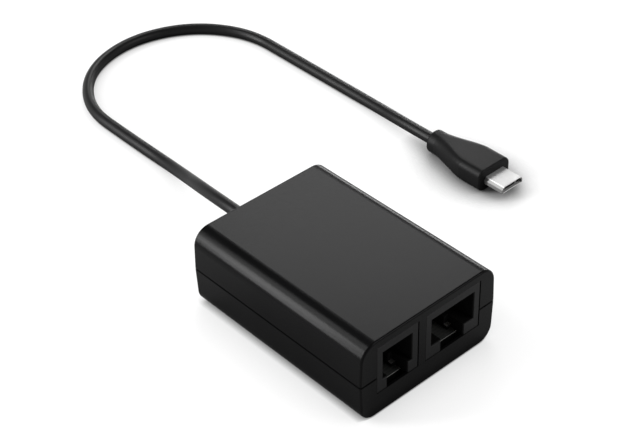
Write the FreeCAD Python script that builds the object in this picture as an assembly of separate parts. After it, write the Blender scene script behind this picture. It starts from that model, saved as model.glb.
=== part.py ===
import FreeCAD, Part
import math
import os

V = FreeCAD.Vector

# All sizes are in millimetres. The jacks face -Y, the cord leaves towards +Y, and z = 0 is the table.

# Case: walls, roundings and the stepped seam between the two covers
side_wall = 1.6
end_wall = 1.8
top_wall = 1.6
base_wall = 1.6
side_draft = 2.3
top_round = 4.0
base_round = 3.5
end_round = 0.45
seam_gap = 0.42
tongue_height = 1.2
tongue_thickness = 0.7
tongue_clearance = 0.1
jack_side_margin = 2.76
electronics_length = 33.2

# Circuit board and the screws that clamp it between the covers
board_lift = 2.3
board_thickness = 1.6
board_corner = 1.0
board_front_gap = 0.25
board_edge_gap = 0.4
boss_radius = 3.0
boss_wall_gap = 1.2
boss_jack_gap = 1.4
board_rest_width = 1.2
board_rest_length = 3.6
screw_radius = 0.95
screw_length = 8.0
screw_hole_clearance = 0.15
thread_clearance = 0.05
screw_head_radius = 1.9
screw_head_height = 1.4
screw_head_edge = 0.4
screw_drive_radius = 0.85
screw_drive_width = 0.4
screw_drive_depth = 0.8
head_recess_depth = 2.2
head_recess_clearance = 0.2
pilot_reserve = 1.0

# Modular jacks
jack_cheek = 1.7
jack_roof = 2.05
jack_back = 4.5
jack_headroom = 0.4
jack_recess = 0.1
jack_gap = 0.12
jack_edge = 0.1
pillar_width = 1.9
sill_gap = 0.03
latch_lip = 0.6
latch_relief_depth = 2.4
opening_floor = 2.9
opening_height = 6.75
opening_chamfer = 0.22
latch_throat_depth = 4.35
latch_step_width = 1.15
latch_step_length = 0.9
latch_step_height = 0.9
post_radius = 1.5
post_setback = 9.0
post_clearance = 0.1
post_stickout = 0.3
rj9_opening = 7.75
rj9_channel = 5.5
rj9_contacts = 4
rj9_post_spacing = 7.62
rj45_opening = 11.85
rj45_channel = 6.4
rj45_contacts = 8
rj45_post_spacing = 11.43

# Contact wires in the jacks
contact_pitch = 1.02
contact_width = 0.4
contact_thickness = 0.26
contact_bend_radius = 0.55
contact_bend_setback = 2.6
contact_cover = 0.55
contact_slope = 22.0
contact_length = 6.4
contact_split_angle = 6.0
contact_pin_stickout = 0.8
contact_row_spacing = 2.54
contact_row_inset = 0.6
contact_hole_clearance = 0.16
slot_clearance = 0.1
slot_front_clearance = 0.32
slot_end_clearance = 0.7
opening_end_clearance = 0.8
pivot_bar_clearance = 0.12

# Parts on the board
part_gap = 0.4
control_chip_size = 5.0
control_chip_height = 0.9
control_chip_edge = 0.12
dot_radius = 0.3
dot_inset = 0.8
dot_depth = 0.1
small_chip_length = 1.6
small_chip_width = 0.8
small_chip_pitch = 1.6
capacitor_chip_height = 0.8
resistor_chip_height = 0.45
chip_lead_sheet = 0.2
chip_lead_root = 0.3
chip_standoff = 0.12
chip_edge = 0.2
memory_width = 3.9
memory_length = 4.9
memory_height = 1.6
memory_span = 6.0
memory_lead_pitch = 1.27
memory_lead_width = 0.4
memory_lead_pairs = 4
regulator_width = 3.5
regulator_length = 6.5
regulator_height = 1.7
regulator_span = 7.0
regulator_lead_pitch = 2.3
regulator_lead_width = 0.7
regulator_lead_pairs = 3
crystal_width = 3.2
crystal_length = 5.0
crystal_base_height = 0.7
crystal_lid_height = 0.5
crystal_lid_inset = 0.25
crystal_corner = 0.6
can_radius = 2.0
can_height = 4.6
can_rim = 0.3
can_base_height = 0.8
can_base_margin = 0.15
choke_size = 4.0
choke_height = 2.1
choke_corner = 0.8

# Cord, its bushing in the rear wall and its wires inside the case
cord_radius = 1.45
bushing_clearance = 0.05
bushing_neck_wall = 1.05
bushing_flange_reach = 1.3
bushing_flange_thickness = 1.5
bushing_flange_board_gap = 0.35
bushing_collar_reach = 0.7
bushing_collar_thickness = 1.0
bushing_nose_wall = 0.65
bushing_length = 6.0
bushing_groove_width = 0.5
bushing_groove_depth = 0.45
bushing_grooves = 3
wall_fit_gap = 0.1
jacket_stub = 1.2
lead_radius = 0.45
lead_count = 5
lead_gap = 0.1
lead_span = 5.0
header_pitch = 1.25
header_wall = 0.6
header_depth = 4.2
header_height = 3.6
header_pin_size = 0.4
header_pin_length = 2.2
plug_body_length = 4.6
plug_body_insertion = 2.8
plug_body_clearance = 0.1

# Micro-USB plug, lying on the table with its axis along Y
plug_x = 57.35
plug_rear_y = 29.1
plug_table_gap = 0.02
grip_length = 19.4
grip_height = 5.75
grip_width = 10.3
grip_collar_length = 2.4
grip_flare_length = 10.4
grip_flare_softness = 0.5
grip_corner = 1.9
grip_end_round = 0.5
shell_reach = 5.5
shell_seat = 4.0
shell_width = 6.85
shell_top_width = 5.75
shell_height = 1.8
shell_side_height = 1.05
shell_sheet = 0.25
shell_edge_round = 0.2
insulator_gap = 0.03
insulator_setback = 0.6
insulator_plate = 0.52
insulator_block_setback = 0.9
contact_strip_width = 0.3
contact_strip_thickness = 0.12
contact_strip_pitch = 0.65
contact_strip_count = 5
contact_strip_setback = 1.0
latch_contact_gap = 0.2
latch_width = 0.6
latch_thickness = 0.2
latch_setback = 1.2
latch_length = 6.6
latch_hook_length = 1.0
latch_hook_reach = 0.4
latch_play = 0.12
latch_pivot_radius = 0.2

# Cutters reach this far past the faces that they go through
cut_over = 1.0

# Sizes that follow from the ones above
rj9_width = rj9_opening + 2 * jack_cheek
rj45_width = rj45_opening + 2 * jack_cheek
row_width = rj9_width + rj45_width + pillar_width + 4 * jack_gap
case_width = row_width + 2 * (jack_side_margin + side_wall)
slot_end = contact_bend_setback + contact_length + slot_end_clearance
opening_depth = slot_end + opening_end_clearance
jack_depth = opening_depth + jack_back
jack_height = opening_floor + opening_height + jack_roof
case_length = jack_recess + jack_depth + electronics_length + end_wall
front_y = -case_length / 2
rear_y = case_length / 2
inner_rear_y = rear_y - end_wall
jack_front_y = front_y + jack_recess
jack_rear_y = jack_front_y + jack_depth
board_bottom = base_wall + board_lift
board_top = board_bottom + board_thickness
board_front_y = front_y + end_wall + board_front_gap
board_rear_y = inner_rear_y - board_edge_gap
jack_top = board_top + jack_height
case_height = jack_top + jack_headroom + top_wall
sill_z = board_top - sill_gap
bushing_neck_radius = cord_radius + bushing_neck_wall
bushing_flange_radius = bushing_neck_radius + bushing_flange_reach
bushing_collar_radius = bushing_neck_radius + bushing_collar_reach
bushing_nose_radius = cord_radius + bushing_nose_wall
seam_height = board_top + bushing_flange_board_gap + bushing_flange_radius
rj9_x = -row_width / 2 + jack_gap + rj9_width / 2
rj45_x = row_width / 2 - jack_gap - rj45_width / 2
pillar_left = rj9_x + rj9_width / 2 + jack_gap
slot_width = contact_width + 2 * slot_clearance
slot_front = contact_bend_setback - contact_bend_radius - contact_thickness / 2 - slot_front_clearance
bend_y = jack_front_y + contact_bend_setback
run_z = jack_top - contact_cover
bend_z = run_z - contact_bend_radius
pin_hole_radius = math.hypot(contact_width, contact_thickness) / 2 + contact_hole_clearance
bushing_end_y = rear_y + bushing_length
jacket_end_y = inner_rear_y - wall_fit_gap - bushing_flange_thickness - jacket_stub
header_y = jacket_end_y - lead_span - plug_body_length + plug_body_insertion - header_depth / 2
header_half = lead_count * header_pitch / 2 + header_wall
plug_axis_z = grip_height / 2 + plug_table_gap
grip_front_y = plug_rear_y - grip_length
shell_tip_y = grip_front_y - shell_reach
strip_row = (contact_strip_count - 1) * contact_strip_pitch + contact_strip_width
latch_spread = strip_row + 2 * latch_contact_gap + latch_width

# Route of the cord's free stretch after it has left the bushing: a droop to the table, one U-turn
# and a straight run back to the plug. The table runs keep a hair of clearance under the jacket.
cord_table_gap = 0.05
cord_low = cord_radius + cord_table_gap
cord_route = [
    V(0, bushing_end_y, seam_height),
    V(0, 43.0, seam_height),
    V(6.7, 63.4, cord_low),
    V(6.9, 100.1, cord_low),
    V(17.0, 113.8, cord_low),
    V(33.3, 118.9, cord_low),
    V(49.5, 113.4, cord_low),
    V(59.2, 99.6, cord_low),
    V(59.0, 51.6, cord_low),
    V(plug_x, 39.0, plug_axis_z),
    V(plug_x, plug_rear_y, plug_axis_z),
]


def box(x0, x1, y0, y1, z0, z1):
    return Part.makeBox(x1 - x0, y1 - y0, z1 - z0, V(x0, y0, z0))


def post(x, y, z0, z1, radius):
    return Part.makeCylinder(radius, z1 - z0, V(x, y, z0), V(0, 0, 1))


def rod_y(x, z, y0, y1, radius):
    return Part.makeCylinder(radius, y1 - y0, V(x, y0, z), V(0, 1, 0))


def prism(points, direction):
    outline = Part.makePolygon(points + points[:1])
    return Part.Face(outline).extrude(direction)


def edges_where(shape, test):
    return [edge for edge in shape.Edges if test(edge.BoundBox)]


def save(node, shape):
    solids = shape.Solids
    result = solids[0] if len(solids) == 1 else Part.makeCompound(solids)
    result.exportStep("parts/" + node + ".step")
    print(node, len(solids), "solids", round(result.Volume, 3), "mm3", "valid", result.isValid())


# Case covers

def half_width(z):
    return case_width / 2 - abs(z - seam_height) * math.tan(math.radians(side_draft))


# A drafted block from the seam to one face, rounded along that face's two long edges
def case_block(z_seam, z_face, side_inset, end_inset, radius):
    near = half_width(z_seam) - side_inset
    far = half_width(z_face) - side_inset
    y0 = front_y + end_inset
    corners = [V(-near, y0, z_seam), V(near, y0, z_seam), V(far, y0, z_face), V(-far, y0, z_face)]
    block = prism(corners, V(0, case_length - 2 * end_inset, 0))
    long_edges = edges_where(block, lambda b: b.YLength > 1 and abs(b.ZMin - z_face) < 0.01 and b.ZLength < 0.01)
    return block.makeFillet(radius, long_edges)


def round_ends(block, z_seam):
    def on_end(b):
        at_seam = b.ZLength < 0.01 and abs(b.ZMin - z_seam) < 0.01
        return b.YLength < 0.01 and not at_seam
    return block.makeFillet(end_round, edges_where(block, on_end))


def screw_places():
    y_front = jack_rear_y + boss_jack_gap + boss_radius
    y_rear = inner_rear_y - boss_wall_gap - boss_radius
    x = half_width(board_bottom) - side_wall - boss_wall_gap - boss_radius
    return [(side * x, y) for side in (-1, 1) for y in (y_front, y_rear)]


def jack_cutouts(z_low):
    cuts = []
    for x, width in ((rj9_x, rj9_width), (rj45_x, rj45_width)):
        reach = width / 2 + jack_gap
        cuts.append(box(x - reach, x + reach, front_y - cut_over, front_y + end_wall + cut_over, z_low, jack_top + jack_gap))
    return cuts


def cord_hole():
    return rod_y(0, seam_height, inner_rear_y - cut_over, rear_y + cut_over, bushing_neck_radius + wall_fit_gap)


# The ring on which the covers are centred: a tongue on the lower cover in a rebate of the upper one
def seam_ring(z0, z1, outer_growth, inner_shrink):
    x_in = case_width / 2 - side_wall - inner_shrink
    y_in = case_length / 2 - end_wall - inner_shrink
    x_out = case_width / 2 - side_wall + tongue_thickness + outer_growth
    y_out = case_length / 2 - end_wall + tongue_thickness + outer_growth
    return box(-x_out, x_out, -y_out, y_out, z0, z1).cut(box(-x_in, x_in, -y_in, y_in, z0 - cut_over, z1 + cut_over))


def make_top_cover():
    z_seam = seam_height + seam_gap / 2
    z_ceiling = case_height - top_wall
    cover = round_ends(case_block(z_seam, case_height, 0, 0, top_round), z_seam)
    cover = cover.cut(case_block(seam_height, z_ceiling, side_wall, end_wall, top_round - top_wall))
    rebate_top = seam_height + tongue_height + tongue_clearance
    cover = cover.cut(seam_ring(seam_height, rebate_top, tongue_clearance, side_wall))
    cover = cover.cut(jack_cutouts(seam_height) + [cord_hole()])
    pillar = box(pillar_left, pillar_left + pillar_width, front_y, front_y + end_wall, sill_z + sill_gap, jack_top)
    bosses = [post(x, y, board_top, case_height - top_wall / 2, boss_radius) for x, y in screw_places()]
    cover = cover.fuse([pillar] + bosses)
    pilot_top = head_recess_depth + screw_length + pilot_reserve
    pilots = [post(x, y, board_top - cut_over, pilot_top, screw_radius + thread_clearance) for x, y in screw_places()]
    return cover.cut(pilots).removeSplitter()


def make_bottom_cover():
    z_seam = seam_height - seam_gap / 2
    row_reach = row_width / 2
    cover = round_ends(case_block(z_seam, 0, 0, 0, base_round), z_seam)
    cover = cover.cut(case_block(seam_height, base_wall, side_wall, end_wall, base_round - base_wall))
    tongue = seam_ring(seam_height - tongue_height, seam_height + tongue_height, 0, 0)
    cover = cover.fuse(tongue)
    jack_window = box(-row_reach, row_reach, front_y - cut_over, front_y + end_wall + cut_over, sill_z, case_height)
    cover = cover.cut([jack_window, cord_hole()])
    bosses = [post(x, y, base_wall / 2, board_bottom, boss_radius) for x, y in screw_places()]
    rests = []
    for x in (-row_reach, pillar_left, row_reach - board_rest_width):
        y = board_front_y + board_edge_gap
        rests.append(box(x, x + board_rest_width, y, y + board_rest_length, base_wall / 2, board_bottom))
    cover = cover.fuse(bosses + rests)
    cuts = []
    for x, y in screw_places():
        cuts.append(post(x, y, -cut_over, head_recess_depth, screw_head_radius + head_recess_clearance))
        cuts.append(post(x, y, 0, board_top, screw_radius + screw_hole_clearance))
    for x, channel in ((rj9_x, rj9_channel), (rj45_x, rj45_channel)):
        y = front_y + latch_lip
        y1 = front_y + end_wall + cut_over
        cuts.append(box(x - channel / 2, x + channel / 2, y, y1, sill_z - latch_relief_depth, sill_z + cut_over))
    return cover.cut(cuts).removeSplitter()


def make_case_screws():
    screws = []
    for x, y in screw_places():
        head = post(x, y, head_recess_depth - screw_head_height, head_recess_depth, screw_head_radius)
        rim = edges_where(head, lambda b: b.ZLength < 0.01 and b.ZMin < head_recess_depth - 0.1)
        head = head.makeChamfer(screw_head_edge, rim)
        shank = post(x, y, head_recess_depth, head_recess_depth + screw_length, screw_radius)
        tip = edges_where(shank, lambda b: b.ZLength < 0.01 and b.ZMin > head_recess_depth + 0.1)
        shank = shank.makeChamfer(screw_radius / 2, tip)
        drive_z = head_recess_depth - screw_head_height
        bars = []
        for a, b in ((screw_drive_radius, screw_drive_width / 2), (screw_drive_width / 2, screw_drive_radius)):
            bars.append(box(x - a, x + a, y - b, y + b, drive_z - cut_over, drive_z + screw_drive_depth))
        screws.append(head.fuse(shank).cut(bars).removeSplitter())
    return Part.makeCompound(screws)


# Modular jacks

def contact_xs(center, count):
    return [center + (i - (count - 1) / 2) * contact_pitch for i in range(count)]


def contact_drop_y(index):
    return jack_rear_y - contact_row_inset - (index % 2) * contact_row_spacing


# The stepped mouth that a plug and its latch go through, grown outwards by its lead-in chamfer
def mouth(center, opening, channel, grow, y):
    half = opening / 2 + grow
    notch = channel / 2 + grow
    low = board_top - cut_over
    floor = board_top + opening_floor - grow
    top = board_top + opening_floor + opening_height + grow
    corners = [(-half, top), (half, top), (half, floor), (notch, floor)]
    corners += [(notch, low), (-notch, low), (-notch, floor), (-half, floor)]
    points = [V(center + x, y, z) for x, z in corners]
    return Part.makePolygon(points + points[:1])


def make_jack_housing(center, width, opening, channel, count, post_spacing):
    floor = board_top + opening_floor
    ceiling = floor + opening_height
    body = box(center - width / 2, center + width / 2, jack_front_y, jack_rear_y, board_top, jack_top)
    front = edges_where(body, lambda b: b.YMax < jack_front_y + 0.1 and b.ZMax > jack_top - 0.1)
    body = body.makeChamfer(jack_edge, front)
    throat = Part.Face(mouth(center, opening, channel, 0, jack_front_y)).extrude(V(0, latch_throat_depth, 0))
    outlines = [mouth(center, opening, channel, opening_chamfer, jack_front_y),
                mouth(center, opening, channel, 0, jack_front_y + opening_chamfer)]
    lead_in = Part.makeLoft(outlines, True, True)
    throat_y = jack_front_y + latch_throat_depth
    back_y = jack_front_y + opening_depth
    cavity = box(center - opening / 2, center + opening / 2, throat_y - cut_over, back_y, floor, ceiling)
    narrow = channel / 2 - latch_step_width
    channel_cut = box(center - narrow, center + narrow, throat_y - cut_over, back_y, board_top - cut_over, floor + cut_over)
    cuts = [throat, lead_in, cavity, channel_cut]
    for i, x in enumerate(contact_xs(center, count)):
        left = x - slot_width / 2
        right = x + slot_width / 2
        lead_floor = run_z - contact_thickness / 2
        drop = contact_drop_y(i)
        cuts.append(box(left, right, jack_front_y + slot_front, jack_front_y + slot_end, ceiling - cut_over, jack_top + cut_over))
        cuts.append(box(left, right, jack_front_y + slot_end - cut_over, drop + slot_width / 2, lead_floor, jack_top + cut_over))
        cuts.append(box(left, right, drop - slot_width / 2, drop + slot_width / 2, board_top - cut_over, jack_top + cut_over))
        cuts.append(box(left, right, drop - contact_bend_radius, drop, run_z - contact_bend_radius, jack_top + cut_over))
    body = body.cut(cuts)
    solids = []
    for side in (-1, 1):
        x0, x1 = sorted((center + side * narrow, center + side * channel / 2))
        solids.append(box(x0, x1, throat_y - latch_step_length, throat_y, board_top, board_top + latch_step_height))
        post_x = center + side * post_spacing / 2
        post_y = jack_front_y + post_setback
        solids.append(post(post_x, post_y, board_bottom - post_stickout, board_top, post_radius))
    bar_reach = (count / 2) * contact_pitch
    bar_radius = contact_bend_radius - contact_thickness / 2 - pivot_bar_clearance
    bar = Part.makeCylinder(bar_radius, 2 * bar_reach, V(center - bar_reach, bend_y, bend_z), V(1, 0, 0))
    return body.fuse(solids + [bar]).removeSplitter()


def bend_point(radius, degrees):
    angle = math.radians(degrees)
    return V(0, bend_y + radius * math.cos(angle), bend_z + radius * math.sin(angle))


def strip_from(edges, xs):
    face = Part.Face(Part.Wire(edges))
    strip = face.extrude(V(contact_width, 0, 0))
    copies = []
    for x in xs:
        copy = strip.copy()
        copy.translate(V(x - contact_width / 2, 0, 0))
        copies.append(copy)
    return copies


def line(a, b):
    return Part.LineSegment(a, b).toShape()


def arc(a, middle, b):
    return Part.Arc(a, middle, b).toShape()


# The sprung arm: a bend round the pivot bar, then a straight wire sloping back and down into the mouth
def make_contact_springs(center, count):
    inner = contact_bend_radius - contact_thickness / 2
    outer = contact_bend_radius + contact_thickness / 2
    start = 90 + contact_split_angle
    end = 270 - contact_slope
    middle = (start + end) / 2
    heading = math.radians(end + 90)
    along = V(0, contact_length * math.cos(heading), contact_length * math.sin(heading))
    in_a, in_m, in_b = [bend_point(inner, a) for a in (start, middle, end)]
    out_a, out_m, out_b = [bend_point(outer, a) for a in (start, middle, end)]
    edges = [arc(out_a, out_m, out_b), line(out_b, out_b + along), line(out_b + along, in_b + along)]
    edges += [line(in_b + along, in_b), arc(in_b, in_m, in_a), line(in_a, out_a)]
    return Part.makeCompound(strip_from(edges, contact_xs(center, count)))


# The fixed lead: a pin through the board, up the jack's rear and forward along its top to the bend
def make_contact_leads(center, count):
    half = contact_thickness / 2
    inner = contact_bend_radius - half
    outer = contact_bend_radius + half
    leads = []
    for i, x in enumerate(contact_xs(center, count)):
        drop = contact_drop_y(i)
        elbow = V(0, drop - contact_bend_radius, run_z - contact_bend_radius)
        diagonal = V(0, math.sqrt(0.5), math.sqrt(0.5))
        foot = board_bottom - contact_pin_stickout
        edges = [line(V(0, drop + half, foot), elbow + V(0, outer, 0))]
        edges.append(arc(elbow + V(0, outer, 0), elbow + diagonal * outer, elbow + V(0, 0, outer)))
        edges.append(line(elbow + V(0, 0, outer), V(0, bend_y, run_z + half)))
        edges.append(line(V(0, bend_y, run_z + half), V(0, bend_y, run_z - half)))
        edges.append(line(V(0, bend_y, run_z - half), elbow + V(0, 0, inner)))
        edges.append(arc(elbow + V(0, 0, inner), elbow + diagonal * inner, elbow + V(0, inner, 0)))
        edges.append(line(elbow + V(0, inner, 0), V(0, drop - half, foot)))
        edges.append(line(V(0, drop - half, foot), V(0, drop + half, foot)))
        leads += strip_from(edges, [x])
    return Part.makeCompound(leads)


# Circuit board and what is soldered to it

def header_pin_xs():
    return [(i - (lead_count - 1) / 2) * header_pitch for i in range(lead_count)]


def header_pin_y():
    return header_y - header_depth / 2 + header_wall / 2


def make_main_board():
    reach = half_width(board_bottom) - side_wall - board_edge_gap
    board = box(-reach, reach, board_front_y, board_rear_y, board_bottom, board_top)
    corners = edges_where(board, lambda b: b.ZLength > board_thickness / 2)
    board = board.makeFillet(board_corner, corners)
    holes = [(x, y, screw_radius + screw_hole_clearance) for x, y in screw_places()]
    jacks = ((rj9_x, rj9_contacts, rj9_post_spacing), (rj45_x, rj45_contacts, rj45_post_spacing))
    for center, count, spacing in jacks:
        for side in (-1, 1):
            x = center + side * spacing / 2
            holes.append((x, jack_front_y + post_setback, post_radius + post_clearance))
        for i, x in enumerate(contact_xs(center, count)):
            holes.append((x, contact_drop_y(i), pin_hole_radius))
    for x in header_pin_xs():
        holes.append((x, header_pin_y(), header_pin_size * math.sqrt(0.5) + contact_hole_clearance))
    return board.cut([post(x, y, board_bottom - cut_over, board_top + cut_over, r) for x, y, r in holes])


def on_board(x, y, dx, dy, height, lift=0.0):
    return box(x - dx / 2, x + dx / 2, y - dy / 2, y + dy / 2, board_top + lift, board_top + lift + height)


# Places along the board, counted from the jacks or, near the cord, from the rear edge
def first_row_y():
    return jack_rear_y + part_gap + small_chip_length / 2


def control_chip_y():
    return first_row_y() + small_chip_length / 2 + part_gap + control_chip_size / 2


def second_row_y():
    return control_chip_y() + control_chip_size / 2 + part_gap + small_chip_length / 2


def third_row_y():
    return second_row_y() + small_chip_length + part_gap


def behind_front_boss_y():
    return jack_rear_y + boss_jack_gap + 2 * boss_radius + part_gap


def column_x(width):
    return header_half + part_gap + width / 2


def make_control_chip():
    y = control_chip_y()
    corner = control_chip_size / 2 - dot_inset
    top = board_top + control_chip_height
    body = on_board(0, y, control_chip_size, control_chip_size, control_chip_height)
    top_edges = edges_where(body, lambda b: b.ZMin > board_top + control_chip_height / 2)
    dot = post(-corner, y - corner, top - dot_depth, top + cut_over, dot_radius)
    return body.makeChamfer(control_chip_edge, top_edges).cut(dot)


# A moulded chip body with gull-wing leads along its two long sides
def gull_wing_chip(x, y, width, length, height, span, pairs, pitch, lead_width):
    body = on_board(x, y, width, length, height - chip_standoff, chip_standoff)
    top_edges = edges_where(body, lambda b: b.ZLength < height / 4 and b.ZMin > board_top + height / 2)
    body = body.makeChamfer(chip_edge, top_edges)
    inner = width / 2 - chip_lead_root
    bend = (span + width) / 4
    outer = span / 2
    foot = board_top + chip_lead_sheet
    knee = board_top + height / 2
    profile = [(inner, knee), (bend, knee), (bend, board_top), (outer, board_top), (outer, foot)]
    profile += [(bend + chip_lead_sheet, foot), (bend + chip_lead_sheet, knee + chip_lead_sheet)]
    profile += [(inner, knee + chip_lead_sheet)]
    leads = []
    for side in (-1, 1):
        for i in range(pairs):
            y0 = y + (i - (pairs - 1) / 2) * pitch - lead_width / 2
            leads.append(prism([V(x + side * px, y0, pz) for px, pz in profile], V(0, lead_width, 0)))
    return body.fuse(leads).removeSplitter()


def make_memory_chip():
    y = behind_front_boss_y() + memory_length / 2
    return gull_wing_chip(column_x(memory_span), y, memory_width, memory_length, memory_height,
                          memory_span, memory_lead_pairs, memory_lead_pitch, memory_lead_width)


def make_voltage_regulator():
    y = behind_front_boss_y() + memory_length + part_gap + regulator_length / 2
    return gull_wing_chip(column_x(regulator_span), y, regulator_width, regulator_length, regulator_height,
                          regulator_span, regulator_lead_pairs, regulator_lead_pitch, regulator_lead_width)


# A ceramic tray closed by a rounded metal lid
def make_crystal():
    x = -column_x(crystal_width)
    y = behind_front_boss_y() + crystal_length / 2
    base = on_board(x, y, crystal_width, crystal_length, crystal_base_height)
    lid_width = crystal_width - 2 * crystal_lid_inset
    lid_length = crystal_length - 2 * crystal_lid_inset
    lid = on_board(x, y, lid_width, lid_length, crystal_lid_height, crystal_base_height)
    lid = lid.makeFillet(crystal_corner, edges_where(lid, lambda b: b.ZLength > crystal_lid_height / 2))
    return base.fuse(lid).removeSplitter()


# Two aluminium cans on square moulded bases
def make_bulk_capacitors():
    base_size = 2 * (can_radius + can_base_margin)
    x = -column_x(base_size)
    caps = []
    for i in range(2):
        y = board_rear_y - part_gap - base_size / 2 - i * (base_size + part_gap)
        base = on_board(x, y, base_size, base_size, can_base_height)
        can = post(x, y, board_top + can_base_height, board_top + can_base_height + can_height, can_radius)
        rim = edges_where(can, lambda b: b.ZLength < can_rim and b.ZMin > board_top + can_height / 2)
        caps.append(base.fuse(can.makeChamfer(can_rim, rim)).removeSplitter())
    return Part.makeCompound(caps)


def make_ferrite_choke():
    y = board_rear_y - part_gap - choke_size / 2
    body = on_board(column_x(choke_size), y, choke_size, choke_size, choke_height)
    return body.makeFillet(choke_corner, edges_where(body, lambda b: b.ZLength > choke_height / 2))


def chip_row(y, count, height):
    xs = [(i - (count - 1) / 2) * small_chip_pitch for i in range(count)]
    return [on_board(x, y, small_chip_width, small_chip_length, height) for x in xs]


def make_chip_capacitors():
    rows = chip_row(first_row_y(), 5, capacitor_chip_height) + chip_row(second_row_y(), 5, capacitor_chip_height)
    return Part.makeCompound(rows)


def make_chip_resistors():
    return Part.makeCompound(chip_row(third_row_y(), 4, resistor_chip_height))


# Board socket open to the rear, the crimp plug in it and the cord's wires

def plug_body_box(grow):
    half = header_half - header_wall - plug_body_clearance + grow
    y0 = header_y + header_depth / 2 - plug_body_insertion - grow
    z0 = board_top + header_wall + plug_body_clearance - grow
    z1 = board_top + header_height - header_wall - plug_body_clearance + grow
    return box(-half, half, y0, y0 + plug_body_length, z0, z1)


def header_pin_z():
    return board_top + header_height / 2


def make_cord_header():
    y = header_y
    body = box(-header_half, header_half, y - header_depth / 2, y + header_depth / 2, board_top, board_top + header_height)
    drop = header_pin_y()
    z = header_pin_z()
    half = header_pin_size / 2
    holes = []
    for x in header_pin_xs():
        holes.append(box(x - half, x + half, drop - half, drop + half, board_top - cut_over, z))
        holes.append(box(x - half, x + half, drop - half, y, z - half, z + half))
    return body.cut([plug_body_box(plug_body_clearance)] + holes).removeSplitter()


def make_cord_header_pins():
    y = header_pin_y()
    z = header_pin_z()
    half = header_pin_size / 2
    pins = []
    for x in header_pin_xs():
        upright = box(x - half, x + half, y - half, y + half, board_bottom - contact_pin_stickout, z)
        blade = box(x - half, x + half, y - half, y + header_pin_length, z - half, z + half)
        pins.append(upright.fuse(blade).removeSplitter())
    return Part.makeCompound(pins)


def make_wire_plug():
    room = header_pin_size / 2 + plug_body_clearance
    y0 = header_y - header_depth / 2
    y1 = header_pin_y() + header_pin_length + plug_body_clearance
    z = header_pin_z()
    cuts = [box(x - room, x + room, y0, y1, z - room, z + room) for x in header_pin_xs()]
    return plug_body_box(0).cut(cuts).removeSplitter()


# A path of straight runs joined by tangent arcs, each as large as its two runs allow
def rounded_path(points):
    edges = []
    radii = []
    start = points[0]
    for before, corner, after in zip(points, points[1:], points[2:]):
        back = before - corner
        ahead = after - corner
        turn = math.pi - back.getAngle(ahead)
        cut = 0.45 * min(back.Length, ahead.Length)
        radius = cut / math.tan(turn / 2)
        back.normalize()
        ahead.normalize()
        enter = corner + back * cut
        leave = corner + ahead * cut
        bisector = back + ahead
        bisector.normalize()
        middle = corner + bisector * (radius / math.cos(turn / 2) - radius)
        edges.append(line(start, enter))
        edges.append(arc(enter, middle, leave))
        radii.append(radius)
        start = leave
    edges.append(line(start, points[-1]))
    return Part.Wire(edges), radii


def tube(points, radius):
    path, radii = rounded_path(points)
    first = points[1] - points[0]
    section = Part.Wire(Part.makeCircle(radius, points[0], first))
    solid = path.makePipe(Part.Face(section))
    return solid, radii, path.Length


def make_cord_leads():
    y0 = jacket_end_y - lead_span
    span = lead_span
    z0 = header_pin_z()
    bundle = (2 * lead_radius + lead_gap) / (2 * math.sin(math.pi / lead_count))
    turns = [math.pi / 2 + i * 2 * math.pi / lead_count for i in range(lead_count)]
    ends = sorted((bundle * math.cos(a), bundle * math.sin(a)) for a in turns)
    leads = []
    for x, (ex, ez) in zip(header_pin_xs(), ends):
        route = [V(x, y0, z0), V(x, y0 + span * 0.3, z0)]
        route += [V(ex, y0 + span * 0.7, seam_height + ez), V(ex, jacket_end_y, seam_height + ez)]
        solid, radii, length = tube(route, lead_radius)
        leads.append(solid)
    return Part.makeCompound(leads)


# Bushing: a flange inside the rear wall, a neck through it and a ringed nose that tapers to the cord
def make_strain_relief():
    bore = cord_radius + bushing_clearance
    flange_y = inner_rear_y - wall_fit_gap - bushing_flange_thickness
    collar_y = rear_y + wall_fit_gap
    taper_y = collar_y + bushing_collar_thickness
    profile = [(bore, flange_y), (bushing_flange_radius, flange_y)]
    profile += [(bushing_flange_radius, inner_rear_y - wall_fit_gap), (bushing_neck_radius, inner_rear_y - wall_fit_gap)]
    profile += [(bushing_neck_radius, collar_y), (bushing_collar_radius, collar_y), (bushing_collar_radius, taper_y)]
    pitch = (bushing_end_y - taper_y) / (bushing_grooves + 0.5)
    slope = (bushing_nose_radius - bushing_collar_radius) / (bushing_end_y - taper_y)
    for i in range(bushing_grooves):
        for dy, depth in ((0, 0), (0, 1), (bushing_groove_width, 1), (bushing_groove_width, 0)):
            y = taper_y + (i + 0.6) * pitch + dy
            outside = bushing_collar_radius + slope * (y - taper_y)
            profile.append((outside - depth * bushing_groove_depth, y))
    profile += [(bushing_nose_radius, bushing_end_y), (bore, bushing_end_y)]
    outline = Part.makePolygon([V(r, y, seam_height) for r, y in profile + profile[:1]])
    return Part.Face(outline).revolve(V(0, 0, seam_height), V(0, 1, 0), 360)


def make_cord_inner_end():
    return rod_y(0, seam_height, jacket_end_y, bushing_end_y, cord_radius)


def make_usb_cord():
    solid, radii, length = tube(cord_route, cord_radius)
    expected = math.pi * cord_radius ** 2 * length
    print("cord length", round(length, 2), "radii", [round(r, 1) for r in radii])
    print("cord volume over section times length", round(solid.Volume / expected, 5))
    return solid


# Micro-USB plug

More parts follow.
